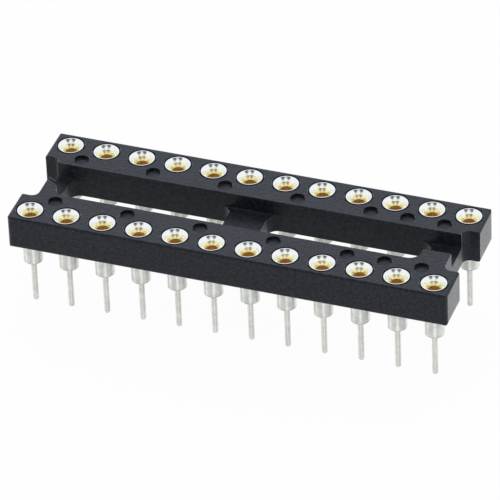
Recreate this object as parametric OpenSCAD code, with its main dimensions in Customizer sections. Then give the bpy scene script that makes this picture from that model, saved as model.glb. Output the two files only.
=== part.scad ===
// Open-frame socket for a dual-in-line chip: a moulded ladder frame, turned sleeves and finger clips.
// The origin is the middle of the contact field, on the board surface that the sleeve shoulders sit on.
// X runs along the rows, Y across them, and Z points up, away from the board.

/* [Contact field] */
// Distance between neighbouring contacts in a row
pitch = 2.54; // [2.4:0.02:2.7]
// Distance between the two rows of contacts
row_spacing = 7.62; // [7.2:0.02:8.2]
// Contacts in each row
contacts_per_row = 12; // [10:2:14]

/* [Frame] */
// Height of the moulded frame
frame_h = 2.4; // [2.2:0.1:3]
// Gap between the board and the underside of the frame
standoff = 1.65; // [1.3:0.05:2]
// Length taken off the row so that sockets fit end to end
end_relief = 0.08; // [0:0.02:0.2]
// Width of a rail outside the row of contacts
rail_outer_w = 1.22; // [1.1:0.01:1.5]
// Width of a rail inside the row of contacts
rail_inner_w = 2.11; // [1.95:0.01:2.3]
// Rounding of the vertical outer corners
corner_r = 0.3; // [0.2:0.05:0.5]
// Rounding of the top and bottom outer edges
edge_r = 0.15; // [0.05:0.01:0.25]

/* [End notches] */
// Depth of the notch in each end of the frame
notch_depth = 1.1; // [0.9:0.05:1.2]
// How much further into each rail the notch reaches than the window
notch_step = 0.55; // [0.3:0.05:0.6]
// Rounding of the notch's inner corners
notch_r = 0.5; // [0.3:0.05:0.55]

/* [Crossbars] */
// Width of the crossbar at the first contact's end
first_bar_w = 0.9; // [0.8:0.05:1.3]
// Width of the crossbar in the middle
mid_bar_w = 2.62; // [2:0.02:3.2]
// Width of the crossbar at the far end
last_bar_w = 1.9; // [1.6:0.05:2.2]
// How far the crossbars lie below the top of the rails
bar_drop = 1.15; // [0.9:0.05:1.3]
// Rounding where a crossbar's top meets the rails
bar_fillet_r = 0.15; // [0.08:0.01:0.25]
// Length of the full-height land on the last crossbar
land_l = 1.2; // [1:0.05:1.5]
// Length of the full-height land on the first crossbar, at the window
first_land_l = 1.45; // [1.2:0.05:1.6]
// How much longer the first crossbar's land is at the notch
first_land_skew = 0.35; // [0.1:0.05:0.5]
// How much narrower the first crossbar's land is at its end
first_land_taper = 0.3; // [0.1:0.05:0.4]
// Width and depth of the seam groove across the first crossbar's land
seam_w = 0.14; // [0.08:0.01:0.18]
// Rounding of the window corners at the end crossbars
window_end_r = 0.8; // [0.5:0.05:0.95]
// Rounding of the window corners at the middle crossbar
window_mid_r = 0.7; // [0.4:0.05:0.9]

/* [Dimples] */
// Diameter of the round dimples between the contacts
dimple_d = 1.05; // [0.9:0.05:1.1]
// Depth of the dimples
dimple_depth = 0.2; // [0.15:0.05:0.5]
// Distance from the row of contacts to the dimples
dimple_offset = 1.34; // [1.3:0.01:1.4]

/* [Sleeves] */
// Diameter of a sleeve's head
head_d = 1.8; // [1.75:0.01:1.88]
// Height of a sleeve's head
head_h = 0.5; // [0.45:0.05:0.7]
// Bevel on the head's outer edge
head_bevel = 0.02; // [0.01:0.01:0.06]
// Width of the flat rim around a sleeve's mouth
rim_w = 0.1; // [0.08:0.01:0.18]
// Radius of the rounded wall of a sleeve's funnel and of the clip's mouth below it
bell_r = 1.3; // [0.8:0.1:3]
// Diameter of the barrel that stands below the frame
barrel_d = 1.3; // [1.24:0.01:1.36]
// Bevel at the bottom of the barrel
barrel_bevel = 0.04; // [0.02:0.01:0.1]
// Thickness of the barrel's wall
barrel_wall = 0.1; // [0.08:0.01:0.12]
// Thickness of the barrel's closed bottom
barrel_floor = 0.6; // [0.5:0.05:0.7]
// Diameter of the solder tail
tail_d = 0.4; // [0.36:0.01:0.55]
// Length of the solder tail below the shoulder
tail_l = 3.35; // [2.8:0.05:3.8]

/* [Contact clips] */
// Depth of the clip's rim below the top of its sleeve
clip_inset = 0.25; // [0.18:0.01:0.28]
// Height of the clip's rim
clip_rim_h = 0.2; // [0.15:0.01:0.25]
// Height of the clip's flared mouth
clip_mouth_h = 0.24; // [0.21:0.01:0.3]
// Thickness of the clip's collar
clip_wall = 0.165; // [0.15:0.005:0.18]
// Length of the straight entry below the clip's mouth
entry_l = 0.25; // [0.2:0.01:0.3]
// Length of the cone that guides a lead from the entry to the fingers
guide_l = 0.45; // [0.35:0.05:0.55]
// Diameter at the end of that cone
guide_d = 0.52; // [0.51:0.01:0.56]
// Length of the spring fingers
finger_l = 1.3; // [1.1:0.05:1.4]
// Diameter of the throat that grips a lead
throat_d = 0.44; // [0.38:0.01:0.5]
// Thickness of the spring fingers
finger_wall = 0.09; // [0.07:0.01:0.12]
// Width of the slots between the fingers
slot_w = 0.1; // [0.08:0.01:0.14]
// Slots that cross the clip, each making two gaps
slot_count = 2; // [2:1:3]

/* [Hidden] */
$fn = 96;
// Overlap that carries a cut clear of the face it opens
cut = 1;
// Clearance around a head in its recess
head_gap = 0.08;
// How much wider the press-fit shank is than the barrel, on each side
shank_step = 0.05;
// Length of the press-fit shank below the head
shank_l = 0.9;
// Width of the flat edge around the clip's mouth
clip_lip = 0.02;
// How much wider the clip's seat is than the bore, on each side
seat_step = 0.05;
// Places of the dimples along a rail, in pitches from the middle of the frame
dimple_pitches = [-5, -3, -1, 1, 3, 4, 5];

// Frame
frame_l = contacts_per_row * pitch - end_relief;
frame_w = row_spacing + 2 * rail_outer_w;
frame_top = standoff + frame_h;
frame_half_l = frame_l / 2;
window_half_w = row_spacing / 2 - rail_inner_w;
notch_half_w = window_half_w + notch_step;
bar_top = frame_top - bar_drop;
land_end = land_l - window_half_w;
first_land_end = first_land_l - window_half_w;

// Crossbars and windows along X: the two windows are equally long
bars_half_l = frame_half_l - notch_depth;
first_window_start = -bars_half_l + first_bar_w;
last_window_end = bars_half_l - last_bar_w;
window_l = (last_window_end - first_window_start - mid_bar_w) / 2;
mid_bar_start = first_window_start + window_l;
mid_bar_end = mid_bar_start + mid_bar_w;

// Sleeves
shank_d = barrel_d + 2 * shank_step;
recess_d = head_d + 2 * head_gap;
bore_d = barrel_d - 2 * barrel_wall;
seat_d = bore_d + 2 * seat_step;
mouth_d = head_d - 2 * rim_w;
head_base = frame_top - head_h;

// Contact clips
clip_top = frame_top - clip_inset;
clip_seat = clip_top - clip_rim_h;
entry_top = clip_top - clip_mouth_h;
entry_end = entry_top - entry_l;
guide_end = entry_end - guide_l;
finger_end = guide_end - finger_l;
entry_d = bore_d - 2 * clip_wall;
clip_mouth_d = seat_d - 2 * clip_lip;
slot_angle = 180 / slot_count;

// Contacts are counted along the near row, then back along the far row
contact_count = 2 * contacts_per_row;
contact_numbers = [for (i = [1 : contact_count]) i];

function label(prefix, i) = str(prefix, i < 10 ? "_0" : "_", i);

function column(i) = i <= contacts_per_row ? i - 1 : contact_count - i;

function contact_x(i) = (column(i) - (contacts_per_row - 1) / 2) * pitch;

function contact_y(i) = (i <= contacts_per_row ? -1 : 1) * row_spacing / 2;

// How much further than its window side the first land reaches at x
function slant(x) =
    first_land_skew * (first_window_start - first_land_taper - x) / (first_bar_w - first_land_taper);

// Moves its children to a contact's place
module at_contact(i) {
    translate([contact_x(i), contact_y(i), 0]) children();
}

// A box between two opposite corners
module box(low, high) {
    translate(low) cube(high - low);
}

// A rectangle with a quarter circle of radius start_r at its low-X corners and end_r at its high-X corners
module rounded_plan(x0, x1, y0, y1, start_r, end_r) {
    difference() {
        translate([x0, y0]) square([x1 - x0, y1 - y0]);
        plan_corners(x0, y0, y1, start_r, 1);
        plan_corners(x1, y0, y1, end_r, -1);
    }
}

// What a rectangle loses at two corners that share an X, where inward is 1 or -1
module plan_corners(x, y0, y1, r, inward) {
    for (y_in = [[y0, 1], [y1, -1]]) {
        translate([x, y_in[0]]) scale([inward, y_in[1]]) difference() {
            translate([-cut, -cut]) square(r + cut);
            translate([r, r]) circle(r);
        }
    }
}

// The frame's outer block, rounded as seen from above, from the end and from the side
module frame_block() {
    intersection() {
        translate([0, 0, standoff]) linear_extrude(frame_h)
            rounded_plan(-frame_half_l, frame_half_l, -frame_w / 2, frame_w / 2, corner_r, corner_r);
        translate([-frame_half_l - cut, 0, 0]) rotate([90, 0, 90]) linear_extrude(frame_l + 2 * cut)
            rounded_plan(-frame_w / 2, frame_w / 2, standoff, frame_top, edge_r, edge_r);
        translate([0, frame_w / 2 + cut, 0]) rotate([90, 0, 0]) linear_extrude(frame_w + 2 * cut)
            rounded_plan(-frame_half_l, frame_half_l, standoff, frame_top, edge_r, edge_r);
    }
}

// A shape seen from above, cut down through the whole frame
module cut_through() {
    translate([0, 0, standoff - cut]) linear_extrude(frame_h + 2 * cut) children();
}

// The two open windows between the crossbars
module windows() {
    cut_through()
        rounded_plan(first_window_start, mid_bar_start, -window_half_w, window_half_w,
                     window_end_r, window_mid_r);
    cut_through()
        rounded_plan(mid_bar_end, last_window_end, -window_half_w, window_half_w,
                     window_mid_r, window_end_r);
}

// The notch in each end of the frame
module end_notches() {
    for (end = [-1, 1]) {
        cut_through() scale([end, 1])
            rounded_plan(bars_half_l, frame_half_l + cut + notch_r, -notch_half_w, notch_half_w,
                         notch_r, notch_r);
    }
}

// What lowers a crossbar from x0 to x1, from y0 to the far rail
module bar_cut(x0, x1, y0) {
    translate([x0, 0, 0]) rotate([90, 0, 90]) linear_extrude(x1 - x0)
        rounded_plan(y0, window_half_w, bar_top, frame_top + cut, bar_fillet_r, bar_fillet_r);
}

// What lowers the first crossbar beside and behind its land
module first_bar_cut() {
    difference() {
        bar_cut(-bars_half_l - cut, first_window_start + window_end_r, -window_half_w);
        cut_through() first_land_plan();
    }
    translate([0, 0, frame_top - seam_w]) linear_extrude(seam_w + cut) intersection() {
        first_land_plan();
        translate([0, -seam_w]) first_land_end_band(seam_w);
    }
}

// The first crossbar's land from above: it narrows from the window's rounded corner, and its end slants
module first_land_plan() {
    start = -window_half_w;
    polygon([
        [-bars_half_l - 2 * cut, start - cut],
        [first_window_start + window_end_r + cut, start - cut],
        [first_window_start + window_end_r + cut, start + window_end_r],
        [first_window_start, start + window_end_r],
        [first_window_start - first_land_taper, first_land_end],
        [-bars_half_l - 2 * cut, first_land_end + slant(-bars_half_l - 2 * cut)]
    ]);
}

// A band of the given width in front of the first land's slanted end
module first_land_end_band(width) {
    x0 = -bars_half_l - cut;
    x1 = first_window_start + cut;
    polygon([
        [x0, first_land_end + slant(x0)],
        [x1, first_land_end + slant(x1)],
        [x1, first_land_end + slant(x1) - width],
        [x0, first_land_end + slant(x0) - width]
    ]);
}

// The blind dimples along the inner half of each rail
module dimples() {
    for (side = [-1, 1], step = dimple_pitches) {
        if (abs(step) < contacts_per_row / 2) {
            translate([step * pitch, side * (row_spacing / 2 - dimple_offset), frame_top - dimple_depth])
                cylinder(h = dimple_depth + cut, d = dimple_d);
        }
    }
}

// The stepped hole that holds one sleeve
module sleeve_hole() {
    translate([0, 0, standoff - cut]) cylinder(h = frame_h + 2 * cut, d = shank_d);
    translate([0, 0, head_base]) cylinder(h = head_h + cut, d = recess_d);
}

// The moulded ladder frame
module insulator() {
    color([0.16, 0.165, 0.18]) difference() {
        frame_block();
        windows();
        end_notches();
        first_bar_cut();
        bar_cut(mid_bar_start - window_mid_r, mid_bar_end + window_mid_r, -window_half_w);
        bar_cut(last_window_end - window_end_r, bars_half_l + cut, land_end);
        dimples();
        for (i = contact_numbers) {
            at_contact(i) sleeve_hole();
        }
    }
}

// A funnel of height h, whose wall swells inward between diameter d1 at the bottom and d2 at the top
module bell(h, d1, d2) {
    spread = (d2 - d1) / 2;
    chord = norm([spread, h]);
    reach = sqrt(pow(bell_r, 2) - pow(chord / 2, 2)) / chord;
    centre = [(d1 + d2) / 4 + reach * h, h / 2 - reach * spread];
    rotate_extrude() difference() {
        square([centre[0], h]);
        translate(centre) circle(bell_r);
    }
}

// The outside of one turned sleeve, from its head down to the rounded end of its tail
module sleeve_outside() {
    translate([0, 0, head_base]) cylinder(h = head_h - head_bevel, d = head_d);
    translate([0, 0, frame_top - head_bevel])
        cylinder(h = head_bevel, d1 = head_d, d2 = head_d - 2 * head_bevel);
    translate([0, 0, head_base - shank_l]) cylinder(h = shank_l, d = shank_d);
    translate([0, 0, barrel_bevel]) cylinder(h = head_base - barrel_bevel, d = barrel_d);
    cylinder(h = barrel_bevel, d1 = barrel_d - 2 * barrel_bevel, d2 = barrel_d);
    translate([0, 0, tail_d / 2 - tail_l]) cylinder(h = tail_l, d = tail_d);
    translate([0, 0, tail_d / 2 - tail_l]) sphere(d = tail_d);
}

// The hole drilled in one sleeve: a funnel, the clip's seat, the bore and its drill point
module sleeve_inside() {
    drill_point_h = bore_d / 4;
    translate([0, 0, clip_top]) bell(clip_inset, seat_d, mouth_d);
    translate([0, 0, frame_top]) cylinder(h = cut, d = mouth_d);
    translate([0, 0, clip_seat]) cylinder(h = clip_rim_h, d = seat_d);
    translate([0, 0, barrel_floor]) cylinder(h = clip_seat - barrel_floor, d = bore_d);
    translate([0, 0, barrel_floor - drill_point_h]) cylinder(h = drill_point_h, d1 = 0, d2 = bore_d);
}

// One turned sleeve with its solder tail
module sleeve(i) {
    color([0.8, 0.81, 0.82]) at_contact(i) difference() {
        sleeve_outside();
        sleeve_inside();
    }
}

// The outside of one clip: its rim, collar, guide cone and tapering fingers
module clip_outside() {
    translate([0, 0, clip_seat]) cylinder(h = clip_rim_h, d = seat_d);
    translate([0, 0, entry_end]) cylinder(h = clip_seat - entry_end, d = bore_d);
    translate([0, 0, guide_end])
        cylinder(h = guide_l, d1 = guide_d + 2 * finger_wall, d2 = entry_d + 2 * finger_wall);
    translate([0, 0, finger_end])
        cylinder(h = finger_l, d1 = throat_d + 2 * finger_wall, d2 = guide_d + 2 * finger_wall);
}

// The way a lead takes through one clip: its flared mouth, entry, guide cone and tapering throat
module clip_inside() {
    translate([0, 0, clip_top]) cylinder(h = cut, d = clip_mouth_d);
    translate([0, 0, entry_top]) bell(clip_mouth_h, entry_d, clip_mouth_d);
    translate([0, 0, entry_end]) cylinder(h = entry_l, d = entry_d);
    translate([0, 0, guide_end]) cylinder(h = guide_l, d1 = guide_d, d2 = entry_d);
    translate([0, 0, finger_end]) cylinder(h = finger_l, d1 = throat_d, d2 = guide_d);
    translate([0, 0, finger_end - cut]) cylinder(h = cut, d = throat_d);
}

// The slots that part the fingers from each other
module clip_slots() {
    for (k = [0 : slot_count - 1]) {
        rotate((k + 0.5) * slot_angle)
            box([-bore_d, -slot_w / 2, finger_end - cut], [bore_d, slot_w / 2, guide_end]);
    }
}

// One spring clip, pressed into its sleeve
module contact_clip(i) {
    color([0.83, 0.66, 0.32]) at_contact(i) difference() {
        clip_outside();
        clip_inside();
        clip_slots();
    }
}

insulator();
for (i = contact_numbers) {
    sleeve(i);
}
for (i = contact_numbers) {
    contact_clip(i);
}
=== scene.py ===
"""The looks of an open-frame chip socket: moulded plastic, tin-plated sleeves and gold-plated clips."""
import math

import bpy
from mathutils import Matrix, Vector


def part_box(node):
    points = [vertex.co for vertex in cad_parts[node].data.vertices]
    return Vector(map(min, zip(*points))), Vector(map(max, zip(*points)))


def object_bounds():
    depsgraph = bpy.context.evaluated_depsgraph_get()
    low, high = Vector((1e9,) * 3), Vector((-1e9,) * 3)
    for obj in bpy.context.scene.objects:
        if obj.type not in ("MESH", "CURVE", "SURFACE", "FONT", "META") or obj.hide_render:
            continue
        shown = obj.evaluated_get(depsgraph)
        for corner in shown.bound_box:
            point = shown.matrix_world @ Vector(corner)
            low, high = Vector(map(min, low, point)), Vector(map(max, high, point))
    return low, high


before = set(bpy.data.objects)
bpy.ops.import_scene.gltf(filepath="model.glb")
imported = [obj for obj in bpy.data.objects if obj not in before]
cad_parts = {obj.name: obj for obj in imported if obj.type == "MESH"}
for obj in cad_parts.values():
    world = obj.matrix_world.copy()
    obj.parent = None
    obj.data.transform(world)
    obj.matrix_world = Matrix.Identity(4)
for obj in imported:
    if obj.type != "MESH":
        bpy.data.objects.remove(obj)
cad_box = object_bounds()

# Lengths are in metres and angles in degrees
MM = 0.001
WHITE = (1.0, 1.0, 1.0, 1.0)

# Heights in the part's frame, where the board's surface is at 0
LOWEST = cad_box[0].z
HEAD_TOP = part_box("sleeve_01")[1].z
CLIP_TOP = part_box("contact_clip_01")[1].z

# Camera, found from the sleeve heads and the frame's edges in the photograph
IMAGE_PX = 500
FOCAL_PX = 5398.1
SENSOR_MM = 36.0
CAMERA_AZIMUTH = 20.576
CAMERA_ELEVATION = 36.638
CAMERA_ROLL = -2.355
CAMERA_DISTANCE = 351.76 * MM
CAMERA_TARGET = Vector((1.416, -3.865, 4.068)) * MM
CAMERA_NEAREST = 10 * MM
CAMERA_FARTHEST = 10000 * MM

# Floor: its own colour, and the share of plain white in what the camera and the metal see of it
FLOOR_HALF = 900 * MM
FLOOR_COLOUR = (0.85, 0.85, 0.85, 1.0)
FLOOR_ROUGHNESS = 0.9
FLOOR_SEEN = 0.96
FLOOR_MIRRORED = 0.95

# Strip lamps just above the board, which the barrels mirror: name, azimuth, width and level
STRIPS = (
    ("left_strip", -58, 48 * MM, 10.0),
    ("middle_strip", 21, 110 * MM, 7.5),
    ("right_strip", 120, 110 * MM, 7.0),
)
STRIP_ELEVATION = 3
STRIP_HEIGHT = 36 * MM
STRIP_DISTANCE = 300 * MM

# Sky: it brightens towards a place behind the part, from the first angle off that place to the second
SKY_DIM = (0.98, 0.99, 1.00, 1.0)
SKY_BRIGHT = (1.34, 1.45, 1.62, 1.0)
SKY_BRIGHT_AIM = (-160, 33)
SKY_BRIGHT_ANGLES = (53.13, 14.07)

# Shades in the sky, a hood above the camera and a gap at each side of it: azimuth, elevation, radius
# and the light that is left in the core, whose own radius is a share of the shade's
SKY_SHADES = (
    (20.6, 70, 30, 0.50),
    (-14, 48, 18, 0.15),
    (55, 48, 18, 0.15),
)
SHADE_CORE = 0.45

# Noise: the size of the blotches and how many finer layers they have, then the noise's mean and usual range
PLASTIC_GRAIN = (0.2 * MM, 2.0)
PLASTIC_PATCHES = (1.4 * MM, 5.0)
TIN_CLOUDS = (0.5 * MM, 4.0)
TIN_MARKS = (0.8 * MM, 3.0)
TIN_MARK_SQUEEZE = (1.0, 1.0, 12.0)
GOLD_CLOUDS = (0.3 * MM, 4.0)
NOISE_MEAN = 0.5
NOISE_RANGE = (0.35, 0.65)

# Plastic: linear colours, gloss, sheen, and the strength and depth of the grain's relief
PLASTIC_DARK = (0.002, 0.003, 0.006, 1.0)
PLASTIC_LIGHT = (0.013, 0.015, 0.023, 1.0)
PLASTIC_ROUGHNESS = (0.34, 0.42)
PLASTIC_SPECULAR = 0.2
PLASTIC_SHEEN = 1.0
PLASTIC_SHEEN_ROUGHNESS = 0.3
PLASTIC_RELIEF = (0.75, 0.03 * MM)

# Tin: linear colours, the last two of them painted shade, in the gap round the head and along the barrel's
# foot
TIN_DARK = (0.66, 0.67, 0.63, 1.0)
TIN_LIGHT = (0.80, 0.81, 0.77, 1.0)
TIN_FUNNEL = (0.90, 0.91, 0.90, 1.0)
TIN_RIM = (0.69, 0.69, 0.67, 1.0)
TIN_RIM_PAINTED_SHADE = (0.05, 0.05, 0.06, 1.0)
TIN_FOOT_PAINTED_SHADE = (0.40, 0.41, 0.40, 1.0)

# Tin: smooth in the funnel and rougher on the barrel and tail, with turning marks that smear reflections
FUNNEL_SPAN = (HEAD_TOP - 1.45 * MM, HEAD_TOP - 0.65 * MM)
FUNNEL_ROUGHNESS = 0.10
BARREL_ROUGHNESS = 0.45
MARK_ROUGHNESS = 0.10
TIN_SMEAR = 0.95
TIN_SMEAR_TURN = 0.25

# Tin is glossier seen edge-on: the range of facing where that changes, and the share of roughness left
EDGE_ON_SPAN = (0.28, 0.75)
EDGE_ON_ROUGHNESS = 0.4

# Tin's edges: how far from the axis the rim's flat and the painted shade on its outer edge begin, as shares
# of the head's width, and the heights where the painted shade at the barrel's foot begins and ends
RIM_FLAT_START = (0.436, 0.446)
RIM_PAINTED_SHADE_START = (0.468, 0.476)
FOOT_PAINTED_SHADE_START = (0.09 * MM, 0.05 * MM)
FOOT_PAINTED_SHADE_END = (0.0, -0.02 * MM)

# Gold: linear colours, gloss and relief, pale at the clip's mouth. From its entry down it is browner and
# half-matt, which is painted light: it stands for light bounced deep inside the clip
GOLD_DARK = (0.82, 0.74, 0.40, 1.0)
GOLD_LIGHT = (0.99, 0.94, 0.60, 1.0)
GOLD_PAINTED_BOUNCE = (0.74, 0.43, 0.07, 1.0)
PAINTED_BOUNCE_METALLIC = 0.3
GOLD_ROUGHNESS = (0.20, 0.30)
GOLD_RELIEF = (0.1, 0.01 * MM)
PAINTED_BOUNCE_SPAN = (CLIP_TOP - 0.22 * MM, CLIP_TOP - 0.30 * MM)


def towards(azimuth, elevation):
    """A direction from the part, in degrees: azimuth 0 is in front and 90 is towards +X."""
    a, e = math.radians(azimuth), math.radians(elevation)
    return Vector((math.sin(a) * math.cos(e), -math.cos(a) * math.cos(e), math.sin(e)))


def fill(node, inputs):
    """Sets a node's input sockets by name, spelled with _ for a space."""
    for name, value in inputs.items():
        node.inputs[name.replace("_", " ")].default_value = value
    return node


def add_object(name, data):
    """A new object in the scene."""
    thing = bpy.data.objects.new(name, data)
    bpy.context.scene.collection.objects.link(thing)
    return thing


class Nodes:
    """A node tree, with short calls for adding and joining its nodes. A source is a node and its output."""

    def __init__(self, tree):
        self.tree = tree

    def add(self, kind, **inputs):
        """A new node, with values for its input sockets."""
        return fill(self.tree.nodes.new(kind), inputs)

    def join(self, node, output, target, socket):
        """Feeds a node's output to a socket of the target."""
        self.tree.links.new(node.outputs[output], target.inputs[socket])

    def calculate(self, operation, first, second):
        """The result of a calculation on two values, each of them a number or a source."""
        node = self.add("ShaderNodeMath")
        node.operation = operation
        for socket, value in enumerate((first, second)):
            if isinstance(value, tuple):
                self.join(*value, node, socket)
            else:
                node.inputs[socket].default_value = value
        return node, 0

    def ramp(self, source, span, low=0.0, high=1.0, interpolation="LINEAR"):
        """Goes from low to high as the source goes across the span."""
        node = self.add("ShaderNodeMapRange", From_Min=span[0], From_Max=span[1], To_Min=low, To_Max=high)
        node.interpolation_type = interpolation
        self.join(*source, node, "Value")
        return node, "Result"


class Finish(Nodes):
    """A material built around one principled shader."""

    def __init__(self, name):
        self.material = bpy.data.materials.new(name)
        self.material.use_nodes = True
        super().__init__(self.material.node_tree)
        self.surface = self.tree.nodes["Principled BSDF"]
        self.place = self.add("ShaderNodeTexCoord")

    def set(self, **inputs):
        """Sets values that are the same all over the surface."""
        fill(self.surface, inputs)

    def noise(self, size, detail, squeeze=(1.0, 1.0, 1.0)):
        """Noise in the part's frame, with blotches of a size in metres that is divided by squeeze."""
        squeezed = self.add("ShaderNodeMapping", Scale=squeeze)
        node = self.add("ShaderNodeTexNoise", Scale=1.0 / size, Detail=detail)
        self.join(self.place, "Object", squeezed, "Vector")
        self.join(squeezed, "Vector", node, "Vector")
        return node

    def colour(self, noise, low, high):
        """Base colour from low to high over the noise's usual range."""
        colours = self.add("ShaderNodeValToRGB")
        for element, position, colour in zip(colours.color_ramp.elements, NOISE_RANGE, (low, high)):
            element.position = position
            element.color = colour
        self.join(noise, "Fac", colours, "Fac")
        self.join(colours, "Color", self.surface, "Base Color")

    def recolour(self, colour, share):
        """Turns the base colour into another one by a share, which is a source."""
        blend = self.add("ShaderNodeMix")
        blend.data_type = "RGBA"
        before, after = (socket for socket in blend.inputs if socket.type == "RGBA")
        result = next(output for output in blend.outputs if output.type == "RGBA")
        base = self.surface.inputs["Base Color"]
        self.tree.links.new(base.links[0].from_socket, before)
        after.default_value = colour
        self.join(*share, blend, 0)
        self.tree.links.new(result, base)

    def roughness(self, noise, low, high):
        """Roughness from low to high over the noise's usual range."""
        self.join(*self.ramp((noise, "Fac"), NOISE_RANGE, low, high), self.surface, "Roughness")

    def by_height(self, span, low=0.0, high=1.0):
        """Goes from low to high between two heights in the part's frame."""
        axes = self.add("ShaderNodeSeparateXYZ")
        self.join(self.place, "Object", axes, "Vector")
        return self.ramp((axes, "Z"), span, low, high)

    def outward(self, span):
        """Goes from 0 to 1 between two distances from a sleeve's axis, as shares of the sleeve's width."""
        # Generated coordinates run from 0 to 1 across the sleeve, so its axis is at a half
        flat = self.add("ShaderNodeMapping", Location=(-0.5, -0.5, 0.0), Scale=(1.0, 1.0, 0.0))
        self.join(self.place, "Generated", flat, "Vector")
        distance = self.add("ShaderNodeVectorMath")
        distance.operation = "LENGTH"
        self.join(flat, "Vector", distance, 0)
        return self.ramp((distance, "Value"), span)

    def bump(self, noise, strength, depth):
        """Relief of the given depth in metres."""
        node = self.add("ShaderNodeBump", Strength=strength, Distance=depth)
        self.join(noise, "Fac", node, "Height")
        self.join(node, "Normal", self.surface, "Normal")


def moulded_plastic():
    """Black glass-filled plastic with the fine grain of a spark-eroded mould."""
    finish = Finish("moulded_plastic")
    grain = finish.noise(*PLASTIC_GRAIN)
    finish.colour(grain, PLASTIC_DARK, PLASTIC_LIGHT)
    finish.roughness(finish.noise(*PLASTIC_PATCHES), *PLASTIC_ROUGHNESS)
    finish.bump(grain, *PLASTIC_RELIEF)
    finish.set(Specular_IOR_Level=PLASTIC_SPECULAR)
    finish.set(Sheen_Weight=PLASTIC_SHEEN, Sheen_Roughness=PLASTIC_SHEEN_ROUGHNESS)
    return finish.material


def colour_tin(finish):
    """Bright tin, palest in the funnel and greyer on the rim, with painted shade at the head's outer edge
    and the barrel's foot.
    """
    finish.colour(finish.noise(*TIN_CLOUDS), TIN_DARK, TIN_LIGHT)
    finish.recolour(TIN_FUNNEL, finish.by_height(FUNNEL_SPAN))
    finish.recolour(TIN_RIM, finish.outward(RIM_FLAT_START))
    # Painted shade: the head's outer edge is darkened, standing for the shadow in the gap between head and
    # plastic
    finish.recolour(TIN_RIM_PAINTED_SHADE, finish.outward(RIM_PAINTED_SHADE_START))
    # Painted shade: a dark line along the barrel's lower edge, standing for the dark reflection under it
    below_start = finish.by_height(FOOT_PAINTED_SHADE_START)
    above_end = finish.by_height(FOOT_PAINTED_SHADE_END, 1.0, 0.0)
    finish.recolour(TIN_FOOT_PAINTED_SHADE, finish.calculate("MULTIPLY", below_start, above_end))


def polish_tin(finish):
    """Roughness that is low in the funnel, uneven along the turning marks, and lower seen edge-on."""
    marks = finish.noise(*TIN_MARKS, TIN_MARK_SQUEEZE)
    level = finish.by_height(FUNNEL_SPAN, BARREL_ROUGHNESS, FUNNEL_ROUGHNESS)
    change = finish.calculate("SUBTRACT", (marks, "Fac"), NOISE_MEAN)
    uneven = finish.calculate("ADD", level, finish.calculate("MULTIPLY", change, MARK_ROUGHNESS))
    layer = finish.add("ShaderNodeLayerWeight")
    edge_on = finish.ramp((layer, "Facing"), EDGE_ON_SPAN, 1.0, EDGE_ON_ROUGHNESS)
    finish.join(*finish.calculate("MULTIPLY", uneven, edge_on), finish.surface, "Roughness")


def turned_tin():
    """Tin plate over turning marks, which run around each sleeve and smear reflections along it."""
    finish = Finish("turned_tin")
    colour_tin(finish)
    polish_tin(finish)
    around = finish.add("ShaderNodeTangent")
    around.direction_type = "RADIAL"
    around.axis = "Z"
    finish.join(around, "Tangent", finish.surface, "Tangent")
    finish.set(Metallic=1.0, Anisotropic=TIN_SMEAR, Anisotropic_Rotation=TIN_SMEAR_TURN)
    return finish.material


def gold_plate():
    """Thin gold plate on a rolled spring, with painted bounce light inside the clip below its entry."""
    finish = Finish("gold_plate")
    clouds = finish.noise(*GOLD_CLOUDS)
    finish.colour(clouds, GOLD_DARK, GOLD_LIGHT)
    # Painted light: below the entry the gold turns brown and half-matt, standing for light bounced inside
    # the clip
    finish.recolour(GOLD_PAINTED_BOUNCE, finish.by_height(PAINTED_BOUNCE_SPAN))
    finish.roughness(clouds, *GOLD_ROUGHNESS)
    finish.bump(clouds, *GOLD_RELIEF)
    metallic = finish.by_height(PAINTED_BOUNCE_SPAN, 1.0, PAINTED_BOUNCE_METALLIC)
    finish.join(*metallic, finish.surface, "Metallic")
    return finish.material


def dress(nodes):
    """Gives every CAD node its material, by the start of its name."""
    finishes = {"insulator": moulded_plastic(), "sleeve": turned_tin(), "contact_clip": gold_plate()}
    for name, node in nodes.items():
        start = next(start for start in finishes if name.startswith(start))
        node.data.materials.clear()
        node.data.materials.append(finishes[start])


def add_camera():
    """The camera that took the photograph."""
    back = towards(CAMERA_AZIMUTH, CAMERA_ELEVATION)
    level = towards(CAMERA_AZIMUTH + 90, 0)
    right = Matrix.Rotation(math.radians(CAMERA_ROLL), 3, back) @ level
    up = back.cross(right)
    data = bpy.data.cameras.new("camera")
    data.sensor_width = SENSOR_MM
    data.lens = FOCAL_PX / IMAGE_PX * SENSOR_MM
    data.clip_start = CAMERA_NEAREST
    data.clip_end = CAMERA_FARTHEST
    camera = add_object("camera", data)
    camera.matrix_world = Matrix((right, up, back)).transposed().to_4x4()
    camera.location = CAMERA_TARGET + back * CAMERA_DISTANCE
    bpy.context.scene.camera = camera


def white_floor():
    """A pale surface that looks white to the camera and in the metal, and keeps a faint shadow."""
    finish = Finish("floor_white")
    finish.set(Base_Color=FLOOR_COLOUR, Roughness=FLOOR_ROUGHNESS, Specular_IOR_Level=0.0)
    glow = finish.add("ShaderNodeEmission", Color=WHITE)
    path = finish.add("ShaderNodeLightPath")
    seen = finish.calculate("MULTIPLY", (path, "Is Camera Ray"), FLOOR_SEEN)
    in_metal = finish.calculate("MAXIMUM", (path, "Is Glossy Ray"), (path, "Is Transmission Ray"))
    mirrored = finish.calculate("MULTIPLY", in_metal, FLOOR_MIRRORED)
    mix = finish.add("ShaderNodeMixShader")
    finish.join(*finish.calculate("ADD", seen, mirrored), mix, 0)
    finish.join(finish.surface, 0, mix, 1)
    finish.join(glow, 0, mix, 2)
    finish.join(mix, 0, finish.tree.nodes["Material Output"], "Surface")
    return finish.material


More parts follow.
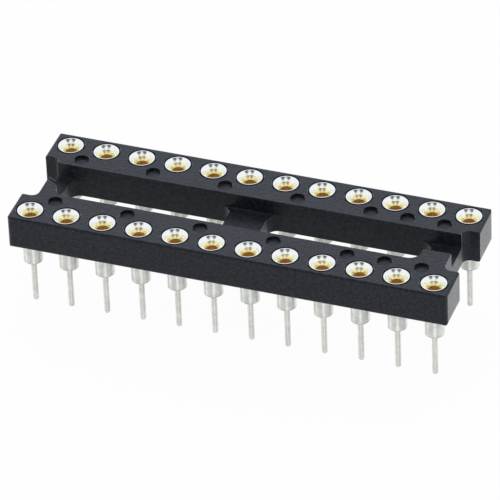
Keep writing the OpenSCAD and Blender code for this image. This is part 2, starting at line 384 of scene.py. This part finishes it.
def add_floor():
    """The square of floor that the tips of the tails stand on."""
    mesh = bpy.data.meshes.new("floor")
    signs = ((-1, -1), (1, -1), (1, 1), (-1, 1))
    corners = [(x * FLOOR_HALF, y * FLOOR_HALF, LOWEST) for x, y in signs]
    mesh.from_pydata(corners, [], [(0, 1, 2, 3)])
    mesh.materials.append(white_floor())
    add_object("floor", mesh)


def add_strip(name, azimuth, width, level):
    """A strip lamp that looks at the part. Level 1 is as bright as a white sky."""
    aim = towards(azimuth, STRIP_ELEVATION)
    data = bpy.data.lights.new(name, "AREA")
    data.shape = "RECTANGLE"
    data.size = width
    data.size_y = STRIP_HEIGHT
    data.energy = level * math.pi * width * STRIP_HEIGHT
    lamp = add_object(name, data)
    lamp.location = aim * STRIP_DISTANCE
    lamp.rotation_euler = aim.to_track_quat("Z", "Y").to_euler()


def add_sky():
    """A white light tent: brightest behind the part, with shades above the camera and beside it."""
    world = bpy.data.worlds.new("tent")
    world.use_nodes = True
    bpy.context.scene.world = world
    sky = Nodes(world.node_tree)
    place = sky.add("ShaderNodeTexCoord")

    def nearing(aim, angles, low=0.0, high=1.0):
        """Goes from low to high as the angle to a direction shrinks from the first angle to the second."""
        cosine = sky.add("ShaderNodeVectorMath")
        cosine.operation = "DOT_PRODUCT"
        cosine.inputs[1].default_value = towards(*aim)
        sky.join(place, "Generated", cosine, 0)
        span = [math.cos(math.radians(angle)) for angle in angles]
        return sky.ramp((cosine, "Value"), span, low, high, "SMOOTHSTEP")

    colours = sky.add("ShaderNodeValToRGB")
    colours.color_ramp.elements[0].color = SKY_DIM
    colours.color_ramp.elements[1].color = SKY_BRIGHT
    sky.join(*nearing(SKY_BRIGHT_AIM, SKY_BRIGHT_ANGLES), colours, "Fac")
    level = 1.0
    for azimuth, elevation, radius, light_left in SKY_SHADES:
        shade = nearing((azimuth, elevation), (radius, SHADE_CORE * radius), 1.0, light_left)
        level = sky.calculate("MULTIPLY", level, shade)
    background = sky.tree.nodes["Background"]
    sky.join(colours, "Color", background, "Color")
    sky.join(*level, background, "Strength")


bpy.context.scene.view_settings.view_transform = "Standard"
dress(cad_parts)
add_camera()
add_floor()
add_sky()
for strip in STRIPS:
    add_strip(*strip)
